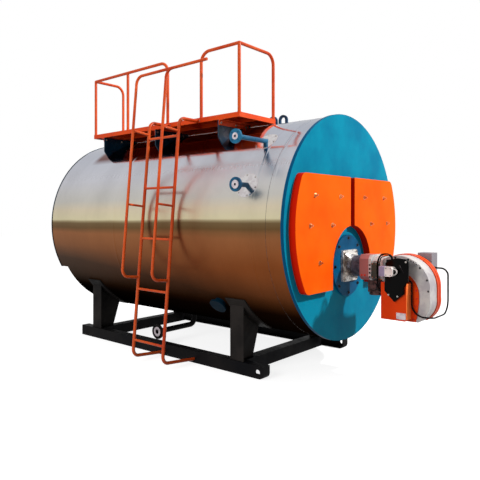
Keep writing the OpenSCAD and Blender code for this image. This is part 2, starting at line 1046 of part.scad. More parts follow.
skid_beam_near();
skid_beam_far();
skid_cross_front();
skid_cross_rear();
leg_front_near();
leg_front_far();
leg_rear_near();
leg_rear_far();
cladding_front();
cladding_middle();
cladding_rear();
smoke_box();
smoke_box_cover();
rear_plate();
front_plate();
door_left();
door_right();
burner_mount_plate();
burner_flange();
burner_neck();
burner_head();
burner_adapter();
gas_valve();
damper_servo();
control_cover();
air_intake_box();
fan_housing();
fan_band();
fan_motor();
damper_leads();
motor_lead();
gauge_nozzle_upper();
gauge_nozzle_lower();
gauge_collars();
lifting_lugs();
blowdown_nozzle();
side_nozzle();
walkway();
walkway_support_rear();
walkway_support_middle();
walkway_support_front();
railing_rear();
railing_front();
ladder_stile_rear();
ladder_stile_front();
ladder_rungs();
ladder_handrail_rear();
ladder_handrail_front();
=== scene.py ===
import json
import math

import bmesh
import bpy
from mathutils import Matrix, Vector


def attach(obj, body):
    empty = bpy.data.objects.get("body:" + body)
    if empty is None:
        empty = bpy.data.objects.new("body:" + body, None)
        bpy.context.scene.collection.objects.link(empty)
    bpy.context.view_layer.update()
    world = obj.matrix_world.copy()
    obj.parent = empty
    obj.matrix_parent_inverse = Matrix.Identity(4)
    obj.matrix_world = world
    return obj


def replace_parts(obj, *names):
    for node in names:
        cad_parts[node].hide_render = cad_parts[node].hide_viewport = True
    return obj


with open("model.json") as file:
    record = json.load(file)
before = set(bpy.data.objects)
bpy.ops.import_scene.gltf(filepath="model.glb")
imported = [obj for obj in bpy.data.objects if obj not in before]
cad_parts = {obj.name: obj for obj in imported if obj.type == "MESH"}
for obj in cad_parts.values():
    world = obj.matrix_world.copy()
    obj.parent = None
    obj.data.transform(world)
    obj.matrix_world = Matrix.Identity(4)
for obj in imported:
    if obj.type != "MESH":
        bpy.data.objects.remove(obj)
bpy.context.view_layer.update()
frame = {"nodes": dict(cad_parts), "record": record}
scene = bpy.context.scene
scene.view_settings.view_transform = "Standard"

# Where the boiler's main parts lie in the frame, in metres
boiler = {
    "frontX": 0.705,  # outer face of the front plate
    "doorX": 0.770,  # outer face of the doors
    "rearX": -2.535,
    "axisZ": 1.340,
    "radius": 1.035,  # outside of the cladding
    "plateRadius": 1.050,
    "burnerZ": 0.985,
    "fanX": 1.240,
    "fanZ": 0.840,
    "fanRadius": 0.265,
    "rimY": -0.098,  # raised rim of the fan housing
    "archY": -0.102,
    "boxHalf": 0.110,  # half the width of the air intake box
    "boxY": -0.200,  # its front
    "coverY": -0.220,
    "deckZ": 2.415,
    "walkY": -0.722,
    "supportX": (-0.267, -1.156, -2.045),
    "gaugeX": 0.277,
    "gaugeY": -1.130,
    "gaugeZ": (2.115, 1.712),
    "blowX": -1.295,
    "blowY": -0.560,
    "blowZ": 0.155,
}

# Directions: to the burner's end, to the top and to the ladder's side
toFront, toTop, toNear = (1, 0, 0), (0, 0, 1), (0, -1, 0)


def srgb(red, green, blue):
    def linear(value):
        value = value / 255
        return value / 12.92 if value <= 0.04045 else ((value + 0.055) / 1.055) ** 2.4
    return (linear(red), linear(green), linear(blue), 1.0)


def grey(value):
    return (value, value, value, 1.0)


view = {
    "place": (3.081, -4.599, 1.463),
    "turn": 0.736,
    "lens": 40.0,
    "sensor": 36.0,
    "opticalPixel": (205.0, 214.0),  # where the optical axis meets the picture
    "picture": 480.0,  # its width and height in pixels
}


def makeCamera():
    data = bpy.data.cameras.new("photoCamera")
    data.lens = view["lens"]
    data.sensor_width = view["sensor"]
    data.shift_x = (view["picture"] / 2 - view["opticalPixel"][0]) / view["picture"]
    data.shift_y = (view["opticalPixel"][1] - view["picture"] / 2) / view["picture"]
    data.clip_end = 100.0
    camera = bpy.data.objects.new("photoCamera", data)
    camera.location = view["place"]
    camera.rotation_euler = (math.pi / 2, 0.0, view["turn"])
    scene.collection.objects.link(camera)
    scene.camera = camera


makeCamera()
print("camera made")

light = {
    "mirrored": 0.62,  # how bright the room is to a mirror
    "ambient": 0.42,
    "floorTone": 0.30,
    "floorSeen": (0.5, 0.80),  # the floor's own tone and its glow, as the camera sees them
}


# Nodes that the materials share
def newMaterial(name):
    material = bpy.data.materials.new(name)
    material.use_nodes = True
    nodes = material.node_tree.nodes
    return material, nodes, material.node_tree.links, nodes["Principled BSDF"]


def objectPoint(nodes):
    return nodes.new("ShaderNodeTexCoord").outputs["Object"]


def noise(nodes, links, point, scale, detail=3.0, rough=0.55, stretch=None):
    if stretch:
        mapping = nodes.new("ShaderNodeMapping")
        mapping.inputs["Scale"].default_value = stretch
        links.new(point, mapping.inputs["Vector"])
        point = mapping.outputs["Vector"]
    texture = nodes.new("ShaderNodeTexNoise")
    texture.inputs["Scale"].default_value = scale
    texture.inputs["Detail"].default_value = detail
    texture.inputs["Roughness"].default_value = rough
    links.new(point, texture.inputs["Vector"])
    return texture.outputs["Fac"]


# Turns a value into a tone; a stop is (value, colour), or (value, brightness) for a grey
def ramp(nodes, links, value, stops):
    node = nodes.new("ShaderNodeValToRGB")
    elements = node.color_ramp.elements
    while len(elements) < len(stops):
        elements.new(0.5)
    for element, (place, colour) in zip(elements, stops):
        element.position = place
        element.color = colour if isinstance(colour, tuple) else grey(colour)
    links.new(value, node.inputs["Fac"])
    return node.outputs["Color"]


# A socket takes a plain value, or what another socket gives
def fill(links, socket, value):
    if isinstance(value, (int, float, tuple)):
        socket.default_value = value
    else:
        links.new(value, socket)


def blendColours(nodes, links, amount, under, over, kind="MIX"):
    node = nodes.new("ShaderNodeMix")
    node.data_type = "RGBA"
    node.blend_type = kind
    for socket, value in ((node.inputs["Factor"], amount), (node.inputs[6], under), (node.inputs[7], over)):
        fill(links, socket, value)
    return node.outputs[2]


def mathNode(nodes, links, operation, *values):
    node = nodes.new("ShaderNodeMath")
    node.operation = operation
    for socket, value in zip(node.inputs, values):
        fill(links, socket, value)
    return node.outputs[0]


def addBump(nodes, links, surface, height, strength, distance):
    bump = nodes.new("ShaderNodeBump")
    bump.inputs["Strength"].default_value = strength
    bump.inputs["Distance"].default_value = distance
    links.new(height, bump.inputs["Height"])
    links.new(bump.outputs["Normal"], surface.inputs["Normal"])


# 0 at low, 1 at high, and clamped beyond them
def spread(nodes, links, value, low, high):
    scaled = nodes.new("ShaderNodeMapRange")
    scaled.inputs["From Min"].default_value = low
    scaled.inputs["From Max"].default_value = high
    links.new(value, scaled.inputs["Value"])
    return scaled.outputs["Result"]


def along(nodes, links, point, axis, low, high):
    split = nodes.new("ShaderNodeSeparateXYZ")
    links.new(point, split.inputs["Vector"])
    return spread(nodes, links, split.outputs[axis], low, high)


# Distance from the boiler's axis
def fromAxis(nodes, links, point, low, high):
    flat = nodes.new("ShaderNodeMapping")
    flat.inputs["Location"].default_value = (0.0, 0.0, -boiler["axisZ"])
    flat.inputs["Scale"].default_value = (0.0, 1.0, 1.0)
    links.new(point, flat.inputs["Vector"])
    length = nodes.new("ShaderNodeVectorMath")
    length.operation = "LENGTH"
    links.new(flat.outputs["Vector"], length.inputs[0])
    return spread(nodes, links, length.outputs["Value"], low, high)


# Sprayed paint: soft patches of a second tone, small worn flecks and orange-peel in the gloss;
# side is (a function that gives 0 on some faces and 1 on the rest, the first faces' colour), a painted shade or
# painted light on those faces
def paint(name, colour, shade, rough=(0.28, 0.42), specular=0.2, fleck=0.0, peel=0.10, side=None):
    material, nodes, links, surface = newMaterial(name)
    point = objectPoint(nodes)
    patches = ramp(nodes, links, noise(nodes, links, point, 2.6, 5.0), [(0.36, shade), (0.60, colour)])
    if side:
        patches = blendColours(nodes, links, side[0](nodes, links, point), side[1], patches)
    if fleck:
        worn = ramp(nodes, links, noise(nodes, links, point, 34.0, 6.0, 0.7), [(0.66, 0.0), (0.70, fleck)])
        patches = blendColours(nodes, links, worn, patches, tuple(0.35 * channel for channel in shade[:3]) + (1.0,))
    links.new(patches, surface.inputs["Base Color"])
    gloss = ramp(nodes, links, noise(nodes, links, point, 11.0), [(0.3, rough[0]), (0.75, rough[1])])
    links.new(gloss, surface.inputs["Roughness"])
    addBump(nodes, links, surface, noise(nodes, links, point, 160.0, 2.0), peel, 0.0006)
    surface.inputs["Specular IOR Level"].default_value = specular
    return material


# Cast or turned metal: patch sets the size of its two tones, grain the size of its bumps
def metal(name, colour, shade, rough=(0.3, 0.5), grain=90.0, bump=0.3, depth=0.001, metallic=1.0, patch=26.0):
    material, nodes, links, surface = newMaterial(name)
    point = objectPoint(nodes)
    tone = ramp(nodes, links, noise(nodes, links, point, patch, 4.0), [(0.42, shade), (0.58, colour)])
    links.new(tone, surface.inputs["Base Color"])
    gloss = ramp(nodes, links, noise(nodes, links, point, 40.0), [(0.3, rough[0]), (0.7, rough[1])])
    links.new(gloss, surface.inputs["Roughness"])
    surface.inputs["Metallic"].default_value = metallic
    surface.inputs["Specular IOR Level"].default_value = 0.35
    addBump(nodes, links, surface, noise(nodes, links, point, grain, 3.0), bump, depth)
    return material


# Moulded plastic with a fine grain
def plastic(name, colour, rough=0.45, specular=0.3):
    material, nodes, links, surface = newMaterial(name)
    point = objectPoint(nodes)
    tint = tuple(channel * 0.72 for channel in colour[:3]) + (1.0,)
    tone = ramp(nodes, links, noise(nodes, links, point, 9.0), [(0.35, tint), (0.6, colour)])
    links.new(tone, surface.inputs["Base Color"])
    gloss = ramp(nodes, links, noise(nodes, links, point, 30.0), [(0.3, rough * 0.8), (0.7, rough)])
    links.new(gloss, surface.inputs["Roughness"])
    surface.inputs["Specular IOR Level"].default_value = specular
    addBump(nodes, links, surface, noise(nodes, links, point, 400.0, 2.0), 0.1, 0.0004)
    return material


# The polished sheet; its heights run from its lowest line (0) to its top (1). Its base colour holds a painted
# reflection of the room, and painted shade
sheet = {
    # painted reflection of what it would mirror: ground, horizon, haze and sky
    "paintedReflectionTones": [
        (0.00, srgb(6, 6, 6)), (0.13, srgb(14, 10, 8)), (0.20, srgb(50, 34, 22)), (0.31, srgb(66, 44, 28)),
        (0.39, srgb(122, 78, 48)), (0.46, srgb(136, 88, 55)), (0.487, srgb(100, 75, 47)), (0.512, srgb(108, 88, 60)),
        (0.522, srgb(150, 134, 102)), (0.530, srgb(206, 192, 158)), (0.58, srgb(200, 188, 164)),
        (0.63, srgb(186, 183, 176)), (0.74, srgb(186, 186, 192)), (1.00, srgb(160, 166, 182)),
    ],
    "toneLift": 1.06,
    # where the painted reflection's horizon lies, and how the painted ground reflection rises and warms towards the
    # front
    "horizon": 0.48,
    "wave": 0.02,  # how far the horizon wanders
    "slope": -0.012,  # how far it drops towards the front
    "drop": -0.008,
    "groundLift": 0.6,  # how far the ground's tones rise towards the front
    "groundTone": (1.0, 0.72, 0.5, 1.0),
    "groundWarmth": 8.0,
    # painted shade: the sheet darker towards the bottom
    "underside": [(0.13, 0.1), (0.22, 0.66), (0.4, 1.0)],
    "stains": [(0.35, 0.88), (0.6, 1.0)],
    "metallic": [(0.16, 0.0), (0.34, 1.0)],
    "polish": [(0.12, 0.6), (0.3, 0.38), (0.74, 0.36), (0.84, 0.12)],
    "brushed": [(0.3, 0.8), (0.7, 1.0)],
    # the strip below the walkway: a painted reflection of the deck's dark lower face, and painted shade beneath the
    # deck
    "deckShadeHeight": (0.70, 0.80),
    "deckShadeEdges": (("Y", -0.76, -0.69), ("Y", -0.15, -0.23), ("X", 0.03, -0.07), ("X", -2.27, -2.17)),
    "deckShadeTone": (0.16, 0.025, 0.02, 1.0),
}


def asMirrored(colour):
    lift = sheet["toneLift"] / light["mirrored"]
    return tuple(min(1.0, lift * channel) for channel in colour[:3]) + (1.0,)


def cladding():
    material, nodes, links, surface = newMaterial("polishedCladding")
    point = objectPoint(nodes)
    low, high = boiler["axisZ"] - boiler["radius"], boiler["axisZ"] + boiler["radius"]
    height = along(nodes, links, point, "Z", low, high)
    forward = along(nodes, links, point, "X", boiler["rearX"], boiler["frontX"])
    below = mathNode(nodes, links, "MAXIMUM", mathNode(nodes, links, "SUBTRACT", sheet["horizon"], height), 0.0)
    ahead = mathNode(nodes, links, "MULTIPLY", below, forward)
    wander = noise(nodes, links, point, 0.9, 2.0, stretch=(1.0, 2.0, 3.0))
    place = mathNode(nodes, links, "MULTIPLY_ADD", wander, sheet["wave"], height)
    place = mathNode(nodes, links, "MULTIPLY_ADD", ahead, sheet["groundLift"], place)
    place = mathNode(nodes, links, "MULTIPLY_ADD", forward, sheet["slope"], place)
    place = mathNode(nodes, links, "ADD", place, sheet["drop"])
    # painted reflection: ground, horizon, haze and sky tones chosen by height, warmed towards the front
    colour = ramp(nodes, links, place, [(stop, asMirrored(tone)) for stop, tone in sheet["paintedReflectionTones"]])
    warm = mathNode(nodes, links, "MINIMUM", mathNode(nodes, links, "MULTIPLY", ahead, sheet["groundWarmth"]), 1.0)
    colour = blendColours(nodes, links, warm, colour, sheet["groundTone"], "MULTIPLY")
    # painted shade, darker towards the bottom
    colour = blendColours(nodes, links, 1.0, colour, ramp(nodes, links, height, sheet["underside"]), "MULTIPLY")
    cloudy = noise(nodes, links, point, 2.2, 6.0, 0.6, stretch=(1.0, 1.0, 0.5))
    colour = blendColours(nodes, links, 1.0, colour, ramp(nodes, links, cloudy, sheet["stains"]), "MULTIPLY")
    # painted reflection and painted shade on the sheet below the walkway
    strip = spread(nodes, links, height, *sheet["deckShadeHeight"])
    for axis, outside, inside in sheet["deckShadeEdges"]:
        strip = mathNode(nodes, links, "MULTIPLY", strip, along(nodes, links, point, axis, outside, inside))
    colour = blendColours(nodes, links, strip, colour, sheet["deckShadeTone"])
    links.new(colour, surface.inputs["Base Color"])
    links.new(ramp(nodes, links, height, sheet["metallic"]), surface.inputs["Metallic"])
    brushed = ramp(nodes, links, noise(nodes, links, point, 5.0, 4.0, stretch=(30.0, 1.0, 1.0)), sheet["brushed"])
    gloss = blendColours(nodes, links, 1.0, ramp(nodes, links, height, sheet["polish"]), brushed, "MULTIPLY")
    links.new(gloss, surface.inputs["Roughness"])
    surface.inputs["Specular IOR Level"].default_value = 0.0
    addBump(nodes, links, surface, noise(nodes, links, point, 1.3, 2.0), 0.35, 0.008)
    return material


# 0 on the front plate's rim, which gets a darker painted shade, 1 on its face
def onPlateFace(nodes, links, point):
    return fromAxis(nodes, links, point, boiler["plateRadius"] - 0.0005, boiler["plateRadius"] - 0.002)


# 0 on a door's edges, which get a darker painted shade, 1 on its face
def onDoorFace(nodes, links, point):
    return along(nodes, links, point, "X", boiler["doorX"] - 0.005, boiler["doorX"] - 0.002)


# 0 on the air intake box's lit side, which gets a lighter painted light, 1 elsewhere
def offBoxSide(nodes, links, point):
    across = along(nodes, links, point, "X", boiler["fanX"], boiler["fanX"] + 1.0)
    gap = mathNode(nodes, links, "ABSOLUTE", mathNode(nodes, links, "SUBTRACT", across, boiler["boxHalf"]))
    return spread(nodes, links, gap, 0.0006, 0.0012)


# One finish for each slot of the record
# Painted shade on the front plate's rim and the doors' edges, painted light on the intake box's lit side
rimShadeBlue, doorEdgeShade, litOrange = srgb(6, 76, 112), srgb(204, 26, 4), srgb(255, 128, 62)
finishes = {
    "skid_paint": paint("skidBlack", srgb(14, 14, 17), srgb(27, 25, 25), (0.4, 0.6), 0.06, 0.5),
    "leg_paint": paint("legCharcoal", srgb(44, 40, 38), srgb(25, 23, 23), (0.5, 0.7), 0.08, 0.4),
    "stainless": cladding(),
    "navy_paint": paint("navyGloss", srgb(6, 46, 66), srgb(2, 22, 36), (0.2, 0.34), 0.4, 0.3),
    "plate_paint": paint("plateBlue", srgb(2, 130, 158), srgb(1, 112, 144), (0.3, 0.42), 0.03,
                         side=(onPlateFace, rimShadeBlue)),
    "pipe_paint": paint("pipeTeal", srgb(22, 100, 136), srgb(8, 60, 92), (0.25, 0.4), 0.3, 0.3),
    "orange_paint": paint("boilerOrange", srgb(220, 74, 18), srgb(202, 54, 10), (0.28, 0.42), 0.2, 0.5),
    "cast_aluminium": metal("castAluminium", srgb(198, 194, 190), srgb(176, 170, 172), (0.32, 0.46), 120.0, 0.3,
                            0.0005, 0.1, 9.0),
    "neck_iron": metal("neckIron", srgb(100, 96, 104), srgb(66, 62, 70), (0.4, 0.6), metallic=0.3),
    "head_paint": paint("headPaint", srgb(170, 104, 100), srgb(140, 84, 88), (0.4, 0.55), 0.15, 0.3),
    "black_plastic": plastic("coverBlack", srgb(4, 3, 3), 0.2, 0.1),
    "white_plastic": plastic("servoWhite", srgb(228, 220, 216), 0.45),
    "motor_paint": paint("motorGrey", srgb(134, 128, 134), srgb(104, 100, 106), (0.4, 0.55), 0.2, 0.3),
}

# Finishes of single parts of the boiler
doorOrange = paint("doorOrange", srgb(250, 98, 10), srgb(244, 86, 6), (0.34, 0.46), 0.03, side=(onDoorFace, doorEdgeShade))
tubeOrange = paint("tubeOrange", srgb(210, 84, 30), srgb(188, 58, 16), (0.2, 0.3), 0.25, 0.4)
boxOrange = paint("boxOrange", srgb(220, 66, 12), srgb(204, 52, 6), (0.3, 0.42), 0.1, 0.3,
                  side=(offBoxSide, litOrange))
mountBlue = paint("mountBlue", srgb(2, 94, 136), srgb(1, 66, 102), (0.3, 0.42), 0.06, 0.3)
outletNavy = paint("outletNavy", srgb(4, 36, 52), srgb(2, 20, 32), (0.4, 0.55), 0.05, 0.3)
lugBlue = paint("lugBlue", srgb(14, 70, 104), srgb(6, 42, 68), (0.25, 0.4), 0.3, 0.3)
valveCasting = metal("valveCasting", srgb(100, 76, 72), srgb(48, 38, 36), (0.4, 0.6), 60.0, 0.5, 0.001, 0.3)
castFlange = metal("castFlange", srgb(244, 240, 234), srgb(124, 110, 102), (0.22, 0.38), 16.0, 0.4, 0.004, 0.6, 11.0)
collarSteel = metal("collarSteel", srgb(250, 246, 246), srgb(236, 228, 230), (0.12, 0.2), 40.0, 0.2, 0.0005)

# Finishes of the small pieces
boltSteel = metal("boltSteel", srgb(216, 208, 200), srgb(150, 140, 132), (0.2, 0.4), 300.0, 0.3, 0.0003)
studZinc = metal("studZinc", srgb(246, 206, 160), srgb(196, 146, 104), (0.2, 0.36), 300.0, 0.3, 0.0003)
darkSteel = metal("darkSteel", srgb(92, 88, 90), srgb(44, 40, 42), (0.3, 0.5), 300.0, 0.3, 0.0003)
boltRed = paint("boltRed", srgb(206, 44, 22), srgb(160, 26, 14), (0.3, 0.4), 0.3)
paleFace = metal("paleFace", srgb(222, 212, 216), srgb(196, 184, 190), (0.35, 0.5), 200.0, 0.3, 0.0004, 0.1)
mauvePlastic = plastic("servoMauve", srgb(150, 138, 166), 0.45)
greenGrey = paint("boxGreenGrey", srgb(62, 62, 54), srgb(40, 40, 36), (0.4, 0.55), 0.2)

nodeFinishes = (
    (doorOrange, ("door_left", "door_right")),
    (tubeOrange, ("railing_rear", "railing_front", "ladder_stile_rear", "ladder_stile_front", "ladder_rungs",
                  "ladder_handrail_rear", "ladder_handrail_front")),
    (boxOrange, ("air_intake_box",)),
    (mountBlue, ("burner_mount_plate",)),
    (outletNavy, ("side_nozzle",)),
    (lugBlue, ("lifting_lugs",)),
    (valveCasting, ("gas_valve",)),
    (castFlange, ("burner_flange",)),
    (collarSteel, ("gauge_collars",)),
)


def dressNodes():
    for part in frame["record"]["subparts"]:
        node = frame["nodes"][part["node"]]
        node.data.materials.clear()
        node.data.materials.append(finishes[part["material_slot"]])
    for finish, names in nodeFinishes:
        for name in names:
            frame["nodes"][name].data.materials[0] = finish


dressNodes()
print("materials made:", len(bpy.data.materials))


# Ways to make a piece
def addPiece(name, mesh, finish, smooth=None):
    piece = bpy.data.objects.new(name, mesh)
    scene.collection.objects.link(piece)
    mesh.materials.clear()
    mesh.materials.append(finish)
    if smooth is not None:
        bpy.context.view_layer.objects.active = piece
        piece.select_set(True)
        bpy.ops.object.shade_smooth_by_angle(angle=math.radians(smooth))
        piece.select_set(False)
    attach(piece, "root")
    return piece


def addShape(name, shape, finish, smooth):
    bmesh.ops.recalc_face_normals(shape, faces=shape.faces)
    mesh = bpy.data.meshes.new(name)
    shape.to_mesh(mesh)
    shape.free()
    return addPiece(name, mesh, finish, smooth)


# Moves a shape made round Z to place, with its axis along direction
def setAt(place, direction):
    return Matrix.Translation(Vector(place)) @ Vector(direction).to_track_quat("Z", "Y").to_matrix().to_4x4()


# Joins each ring of points to the next, and the last to the first
def joinRings(shape, rings):
    for step, ring in enumerate(rings):
        following = rings[(step + 1) % len(rings)]
        for i in range(len(ring)):
            j = (i + 1) % len(ring)
            shape.faces.new((ring[i], ring[j], following[j], following[i]))


# Turns a closed profile of (radius, height) points round a line through place along direction
def lathe(shape, profile, place, direction, steps=48):
    matrix = setAt(place, direction)
    rings = []
    for step in range(steps):
        angle = 2 * math.pi * step / steps
        rings.append([shape.verts.new(matrix @ Vector((r * math.cos(angle), r * math.sin(angle), h)))
                      for r, h in profile])
    joinRings(shape, rings)


# A bead of weld: a ring round a pipe with an uneven, rippled surface
def weldRing(shape, place, direction, radius, bead, steps=72, sides=8):
    matrix = setAt(place, direction)
    rings = []
    for step in range(steps):
        angle = 2 * math.pi * step / steps
        swell = bead * (1 + 0.22 * math.sin(angle * 17) + 0.12 * math.sin(angle * 29 + 1))
        ring = []
        for side in range(sides):
            turn = 2 * math.pi * side / sides
            r = radius + swell * math.cos(turn)
            point = Vector((r * math.cos(angle), r * math.sin(angle), swell * math.sin(turn)))
            ring.append(shape.verts.new(matrix @ point))
        rings.append(ring)
    joinRings(shape, rings)


# A flat outline of (x, z) points round place, given depth towards the near side, with its front edges eased
def slab(shape, outline, place, depth, ease):
    x, y, z = place
    back = [shape.verts.new((x + a, y, z + b)) for a, b in outline]
    front = [shape.verts.new((x + a, y - depth, z + b)) for a, b in outline]
    faces = [shape.faces.new(front), shape.faces.new(list(reversed(back)))]
    for i in range(len(outline)):
        j = (i + 1) % len(outline)
        faces.append(shape.faces.new((back[i], back[j], front[j], front[i])))
    rim = set(faces[0].edges)
    upright = {edge for face in faces[2:] for edge in face.edges if edge not in faces[1].edges}
    bmesh.ops.bevel(shape, geom=list(rim | upright), offset=ease, segments=3, profile=0.6, affect="EDGES")


def box(width, height):
    return [(-width / 2, -height / 2), (width / 2, -height / 2), (width / 2, height / 2), (-width / 2, height / 2)]


# A Geometry Nodes tree; inputs are the names and values of its sizes
def newTree(name, inputs):
    group = bpy.data.node_groups.new(name, "GeometryNodeTree")
    sockets = group.interface
    sockets.new_socket(name="Geometry", in_out="INPUT", socket_type="NodeSocketGeometry")
    for label, value in inputs.items():
        kind = "NodeSocketInt" if isinstance(value, int) else "NodeSocketFloat"
        sockets.new_socket(name=label, in_out="INPUT", socket_type=kind).default_value = value
    sockets.new_socket(name="Finish", in_out="INPUT", socket_type="NodeSocketMaterial")
    sockets.new_socket(name="Geometry", in_out="OUTPUT", socket_type="NodeSocketGeometry")
    return group, group.nodes, group.links, group.nodes.new("NodeGroupInput")


def endTree(group, given, geometry):
    nodes, links = group.nodes, group.links
    real = nodes.new("GeometryNodeRealizeInstances")
    links.new(geometry, real.inputs["Geometry"])
    finish = nodes.new("GeometryNodeSetMaterial")
    links.new(real.outputs["Geometry"], finish.inputs["Geometry"])
    links.new(given.outputs["Finish"], finish.inputs["Material"])
    links.new(finish.outputs["Geometry"], nodes.new("NodeGroupOutput").inputs["Geometry"])
    return group


# The tree's result on mesh, as a plain mesh; settings are the tree's named inputs
def meshFromTree(name, mesh, tree, settings, finish):
    carrier = bpy.data.objects.new(name + "Carrier", mesh)
    scene.collection.objects.link(carrier)
    modifier = carrier.modifiers.new("tree", "NODES")
    modifier.node_group = tree
    values = dict(settings, Finish=finish)
    for item in tree.interface.items_tree:
        if item.in_out == "INPUT" and item.name in values:
            modifier[item.identifier] = values[item.name]
    carrier.update_tag()
    solid = bpy.data.meshes.new_from_object(carrier.evaluated_get(bpy.context.evaluated_depsgraph_get()))
    carrier.modifiers.clear()
    bpy.data.objects.remove(carrier)
    solid.name = name
    return solid


def readAttribute(nodes, kind, name):
    node = nodes.new("GeometryNodeInputNamedAttribute")
    node.data_type = kind
    node.inputs["Name"].default_value = name
    return node.outputs["Attribute"]


def setOnPoints(nodes, links, given, instance, rotation):
    placed = nodes.new("GeometryNodeInstanceOnPoints")
    links.new(given.outputs["Geometry"], placed.inputs["Points"])
    links.new(instance, placed.inputs["Instance"])
    links.new(rotation, placed.inputs["Rotation"])
    return placed.outputs["Instances"]


# Sets a bolt on every point, along the point's own direction and turned by chance
def makeBoltTree():
    group, nodes, links, given = newTree("boltField", {
        "Head radius": 0.011, "Head height": 0.009, "Head sides": 6, "Washer radius": 0.015, "Stud radius": 0.006,
        "Stud length": 0.014, "Seed": 5})

    def scaled(socket, factor):
        return mathNode(nodes, links, "MULTIPLY", socket, factor)

    def cone(sides, low, high, depth):
        node = nodes.new("GeometryNodeMeshCone")
        fill(links, node.inputs["Vertices"], sides)
        links.new(low, node.inputs["Radius Bottom"])
        links.new(high, node.inputs["Radius Top"])
        links.new(depth, node.inputs["Depth"])
        return node.outputs["Mesh"]

    head, tall, sides = (given.outputs[label] for label in ("Head radius", "Head height", "Head sides"))
    washer, stud, length = (given.outputs[label] for label in ("Washer radius", "Stud radius", "Stud length"))
    joined = nodes.new("GeometryNodeJoinGeometry")
    for piece in (cone(24, washer, scaled(washer, 0.94), scaled(tall, 0.28)),
                  cone(sides, head, head, scaled(tall, 0.86)),
                  cone(sides, scaled(head, 0.98), scaled(head, 0.84), tall),
                  cone(16, stud, scaled(stud, 0.8), length)):
        links.new(piece, joined.inputs["Geometry"])
    upright = nodes.new("FunctionNodeAlignRotationToVector")
    upright.axis = "Z"
    links.new(readAttribute(nodes, "FLOAT_VECTOR", "direction"), upright.inputs["Vector"])
    chance = nodes.new("FunctionNodeRandomValue")
    chance.data_type = "FLOAT"
    chance.inputs[3].default_value = math.pi / 3
    links.new(given.outputs["Seed"], chance.inputs["Seed"])
    spin = nodes.new("FunctionNodeAxisAngleToRotation")
    spin.inputs["Axis"].default_value = toTop
    links.new(chance.outputs[1], spin.inputs["Angle"])
    turned = nodes.new("FunctionNodeRotateRotation")
    turned.rotation_space = "LOCAL"
    links.new(upright.outputs["Rotation"], turned.inputs["Rotation"])
    links.new(spin.outputs["Rotation"], turned.inputs["Rotate By"])
    bolts = setOnPoints(nodes, links, given, joined.outputs["Geometry"], turned.outputs["Rotation"])
    return endTree(group, given, bolts)


# Sweeps a round lead along every chain of edges
def makeLeadTree():
    group, nodes, links, given = newTree("leadSweep", {"Radius": 0.0042, "Sides": 10, "Cuts": 5})
    chain = nodes.new("GeometryNodeMeshToCurve")
    links.new(given.outputs["Geometry"], chain.inputs["Mesh"])
    smooth = nodes.new("GeometryNodeCurveSplineType")
    smooth.spline_type = "CATMULL_ROM"
    links.new(chain.outputs["Curve"], smooth.inputs["Curve"])
    dense = nodes.new("GeometryNodeSetSplineResolution")
    links.new(smooth.outputs["Curve"], dense.inputs["Geometry"])
    links.new(given.outputs["Cuts"], dense.inputs["Resolution"])
    section = nodes.new("GeometryNodeCurvePrimitiveCircle")
    links.new(given.outputs["Sides"], section.inputs["Resolution"])
    links.new(given.outputs["Radius"], section.inputs["Radius"])
    swept = nodes.new("GeometryNodeCurveToMesh")
    links.new(dense.outputs["Geometry"], swept.inputs["Curve"])
    links.new(section.outputs["Curve"], swept.inputs["Profile Curve"])
    swept.inputs["Fill Caps"].default_value = True
    return endTree(group, given, swept.outputs["Mesh"])


# Sets a low lozenge on every point, turned by the point's own lean and a little by chance
def makeTreadTree():
    group, nodes, links, given = newTree("treadField", {
        "Long": 0.030, "Wide": 0.005, "High": 0.0012, "Uneven": 0.03, "Seed": 7})
    lozenge = nodes.new("GeometryNodeMeshCone")
    for label, value in (("Vertices", 6), ("Radius Bottom", 0.5), ("Radius Top", 0.4), ("Depth", 1.0)):
        lozenge.inputs[label].default_value = value
    size = nodes.new("ShaderNodeCombineXYZ")
    for axis, label in zip("XYZ", ("Long", "Wide", "High")):
        links.new(given.outputs[label], size.inputs[axis])
    shaped = nodes.new("GeometryNodeTransform")
    links.new(lozenge.outputs["Mesh"], shaped.inputs["Geometry"])
    links.new(size.outputs["Vector"], shaped.inputs["Scale"])
    chance = nodes.new("FunctionNodeRandomValue")
    chance.data_type = "FLOAT"
    links.new(mathNode(nodes, links, "MULTIPLY", given.outputs["Uneven"], -1.0), chance.inputs[2])
    links.new(given.outputs["Uneven"], chance.inputs[3])
    links.new(given.outputs["Seed"], chance.inputs["Seed"])
    turn = nodes.new("ShaderNodeCombineXYZ")
    lean = readAttribute(nodes, "FLOAT", "lean")
    links.new(mathNode(nodes, links, "ADD", lean, chance.outputs[1]), turn.inputs["Z"])
    spin = nodes.new("FunctionNodeEulerToRotation")
    links.new(turn.outputs["Vector"], spin.inputs["Euler"])
    treads = setOnPoints(nodes, links, given, shaped.outputs["Geometry"], spin.outputs["Rotation"])
    return endTree(group, given, treads)


boltTree, leadTree, treadTree = makeBoltTree(), makeLeadTree(), makeTreadTree()
print("trees made")


# The bolt tree's inputs, in metres
def boltSizes(head, tall, washer, stud, length, sides=6):
    return {"Head radius": head, "Head height": tall, "Head sides": sides, "Washer radius": washer,
            "Stud radius": stud, "Stud length": length}


# Bolts at places, each a pair of (point, direction)
def boltField(name, places, sizes, finish):
    mesh = bpy.data.meshes.new(name + "Points")
    mesh.from_pydata([place for place, direction in places], [], [])
    aims = mesh.attributes.new("direction", "FLOAT_VECTOR", "POINT")
    for item, (place, direction) in zip(aims.data, places):
        item.vector = direction
    return addPiece(name, meshFromTree(name, mesh, boltTree, sizes, finish), finish)


def facing(direction, spots):
    return [(spot, direction) for spot in spots]


